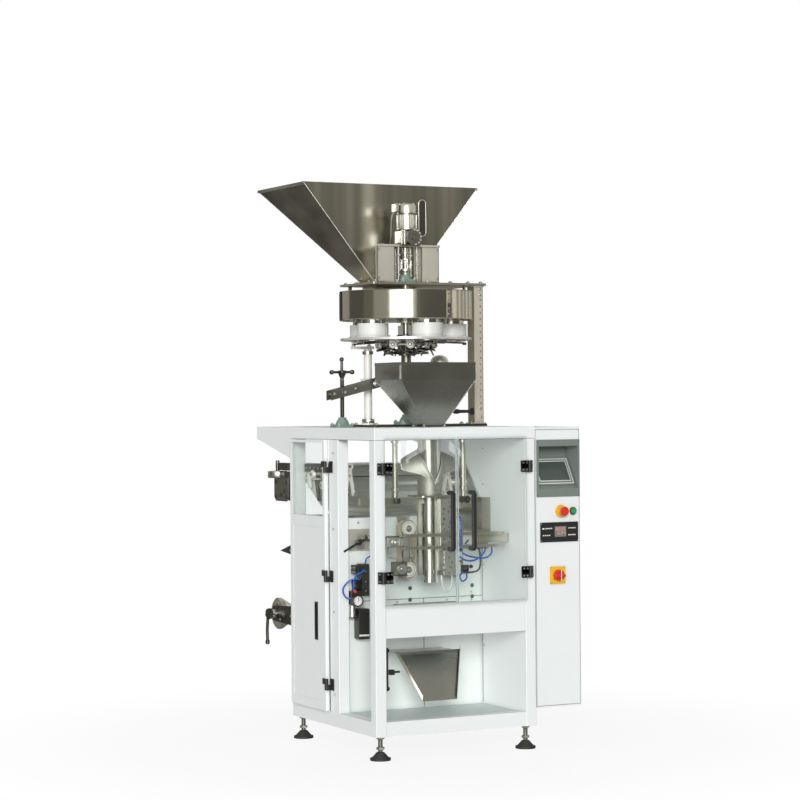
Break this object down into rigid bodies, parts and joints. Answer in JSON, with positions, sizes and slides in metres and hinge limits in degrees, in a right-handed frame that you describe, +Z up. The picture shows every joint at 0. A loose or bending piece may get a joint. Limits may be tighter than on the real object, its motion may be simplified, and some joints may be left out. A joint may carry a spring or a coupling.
{
  "type": "volumetric cup filler on a vertical bagging machine",
  "caption": "Rotary volumetric cup filler with hopper, cup discs and funnel, standing on a vertical form-fill-seal bagging machine with clear doors and control cabinet.",
  "frame": {"origin": "middle of the overall box, on the floor under the feet", "axes": "+X to the machine's right seen from the front, +Y to the back, +Z up"},
  "size_m": [1.056, 1.292, 2.487],
  "materials": {
    "frame_left": "semi-gloss off-white paint",
    "frame_right": "semi-gloss off-white paint",
    "frame_crossbars": "semi-gloss off-white paint",
    "deck": "semi-gloss off-white paint",
    "rear_panel": "semi-gloss off-white paint",
    "inner_wall": "semi-gloss off-white paint",
    "levelling_feet": "dark rubber",
    "control_cabinet": "semi-gloss off-white paint",
    "screen_panel": "satin grey paint",
    "temperature_panel": "black moulded plastic",
    "control_plates": "yellow moulded plastic",
    "stop_button": "red moulded plastic",
    "start_button": "green moulded plastic",
    "switch_knob": "red moulded plastic",
    "floor_tray": "grey-green hammer paint",
    "front_door_left": "clear acrylic sheet",
    "front_door_right": "clear acrylic sheet",
    "left_door_fittings": "black moulded plastic",
    "right_door_fittings": "black moulded plastic",
    "door_hinges": "black moulded plastic",
    "side_door": "semi-gloss off-white paint",
    "side_window": "clear acrylic sheet",
    "side_door_fittings": "black moulded plastic",
    "forming_tube": "polished stainless",
    "former_plate": "brushed stainless",
    "forming_collar": "brushed stainless",
    "film_belts": "dark rubber",
    "belt_drives": "bare aluminium",
    "seal_guides": "brushed stainless",
    "vertical_sealer": "bare aluminium",
    "sealing_jaws": "black oxide finish",
    "bag_chute": "brushed stainless",
    "film_rollers": "bare aluminium",
    "film_roll_carrier": "black oxide finish",
    "film_roll_shaft": "bare aluminium",
    "air_regulator": "black moulded plastic",
    "valve_island": "bare aluminium",
    "switch_box": "black oxide finish",
    "air_hoses": "blue polyurethane tube",
    "base_plate": "black oxide finish",
    "column": "brushed stainless",
    "top_plate": "brushed stainless",
    "product_ring": "polished stainless",
    "discharge_funnel": "brushed stainless",
    "bulk_hopper": "brushed stainless",
    "motor_bracket": "brushed stainless",
    "gear_motor": "bare aluminium",
    "trip_post": "ivory paint",
    "adjusting_lever": "black oxide finish",
    "lever_nut": "bare aluminium",
    "flange_bearings": "grey-green hammer paint",
    "star_handle": "black oxide finish",
    "spindle": "polished stainless",
    "upper_disc": "brushed stainless",
    "metal_cups": "polished stainless",
    "lower_disc": "brushed stainless",
    "measuring_cups": "white turned plastic",
    "cup_flaps": "bare aluminium",
    "lift_sleeve": "brushed stainless"
  },
  "bodies": {
    "machine": {"frame_left": "frame_left", "frame_right": "frame_right", "frame_crossbars": "frame_crossbars", "deck": "deck", "rear_panel": "rear_panel", "inner_wall": "inner_wall", "levelling_feet": "levelling_feet", "control_cabinet": "control_cabinet", "screen_panel": "screen_panel", "temperature_panel": "temperature_panel", "control_plates": "control_plates", "floor_tray": "floor_tray", "door_hinges": "door_hinges", "forming_tube": "forming_tube", "former_plate": "former_plate", "forming_collar": "forming_collar", "film_belts": "film_belts", "belt_drives": "belt_drives", "seal_guides": "seal_guides", "vertical_sealer": "vertical_sealer", "sealing_jaws": "sealing_jaws", "bag_chute": "bag_chute", "film_rollers": "film_rollers", "film_roll_carrier": "film_roll_carrier", "air_regulator": "air_regulator", "valve_island": "valve_island", "switch_box": "switch_box", "air_hoses": "air_hoses", "base_plate": "base_plate", "column": "column", "top_plate": "top_plate", "product_ring": "product_ring", "discharge_funnel": "discharge_funnel", "bulk_hopper": "bulk_hopper", "motor_bracket": "motor_bracket", "gear_motor": "gear_motor", "trip_post": "trip_post", "flange_bearings": "flange_bearings"},
    "rotor": {"spindle": "spindle", "upper_disc": "upper_disc", "metal_cups": "metal_cups"},
    "lower_cups": {"lower_disc": "lower_disc", "lift_sleeve": "lift_sleeve", "measuring_cups": "measuring_cups", "cup_flaps": "cup_flaps"},
    "left_door": {"front_door_left": "front_door_left", "left_door_fittings": "left_door_fittings"},
    "right_door": {"front_door_right": "front_door_right", "right_door_fittings": "right_door_fittings"},
    "rear_side_door": {"side_door": "side_door", "side_window": "side_window", "side_door_fittings": "side_door_fittings"},
    "volume_screw": {"star_handle": "star_handle"},
    "screw_nut": {"lever_nut": "lever_nut"},
    "lever": {"adjusting_lever": "adjusting_lever"},
    "stop_push": {"stop_button": "stop_button"},
    "start_push": {"start_button": "start_button"},
    "mains_knob": {"switch_knob": "switch_knob"},
    "film_shaft": {"film_roll_shaft": "film_roll_shaft"}
  },
  "joints": [
    {"name": "rotor_spin", "type": "hinge", "parent": "machine", "child": "rotor", "pos_m": [-0.089, -0.126, 1.79], "axis": [0, 0, 1], "continuous": true},
    {"name": "left_door_swing", "type": "hinge", "parent": "machine", "child": "left_door", "pos_m": [-0.446, -0.597, 1], "axis": [0, 0, -1], "range_deg": [0, 105]},
    {"name": "right_door_swing", "type": "hinge", "parent": "machine", "child": "right_door", "pos_m": [0.268, -0.597, 1], "axis": [0, 0, 1], "range_deg": [0, 105]},
    {"name": "side_door_swing", "type": "hinge", "parent": "machine", "child": "rear_side_door", "pos_m": [-0.5, -0.141, 0.75], "axis": [0, 0, 1], "range_deg": [0, 105]},
    {"name": "volume_screw_turn", "type": "hinge", "parent": "machine", "child": "volume_screw", "pos_m": [-0.406, -0.126, 1.5], "axis": [0, 0, 1], "range_deg": [0, 1000]},
    {"name": "lower_cups_lift", "type": "slide", "parent": "rotor", "child": "lower_cups", "axis": [0, 0, 1], "range_m": [0, 0.012]},
    {"name": "lever_tilt", "type": "hinge", "parent": "machine", "child": "lever", "pos_m": [-0.254, -0.126, 1.592], "axis": [0, -1, 0], "range_deg": [0, 4.3]},
    {"name": "nut_travel", "type": "slide", "parent": "machine", "child": "screw_nut", "axis": [0, 0, -1], "range_m": [0, 0.0115]},
    {"name": "stop_press", "type": "slide", "parent": "machine", "child": "stop_push", "axis": [0, 1, 0], "range_m": [0, 0.005], "stiffness_N_per_m": 1200, "springref_m": -0.002},
    {"name": "start_press", "type": "slide", "parent": "machine", "child": "start_push", "axis": [0, 1, 0], "range_m": [0, 0.004], "stiffness_N_per_m": 900, "springref_m": -0.002},
    {"name": "mains_turn", "type": "hinge", "parent": "machine", "child": "mains_knob", "pos_m": [0.41, -0.603, 0.749], "axis": [0, 1, 0], "range_deg": [0, 90]},
    {"name": "film_shaft_spin", "type": "hinge", "parent": "machine", "child": "film_shaft", "pos_m": [-0.089, 0.457, 0.544], "axis": [1, 0, 0], "continuous": true}
  ],
  "couplings": [
    {"joint": "volume_screw_turn", "follows": "lower_cups_lift", "rad_per_m": 1439},
    {"joint": "lever_tilt", "follows": "lower_cups_lift", "rad_per_m": 6.0606},
    {"joint": "nut_travel", "follows": "lower_cups_lift", "ratio": 0.92121}
  ]
}
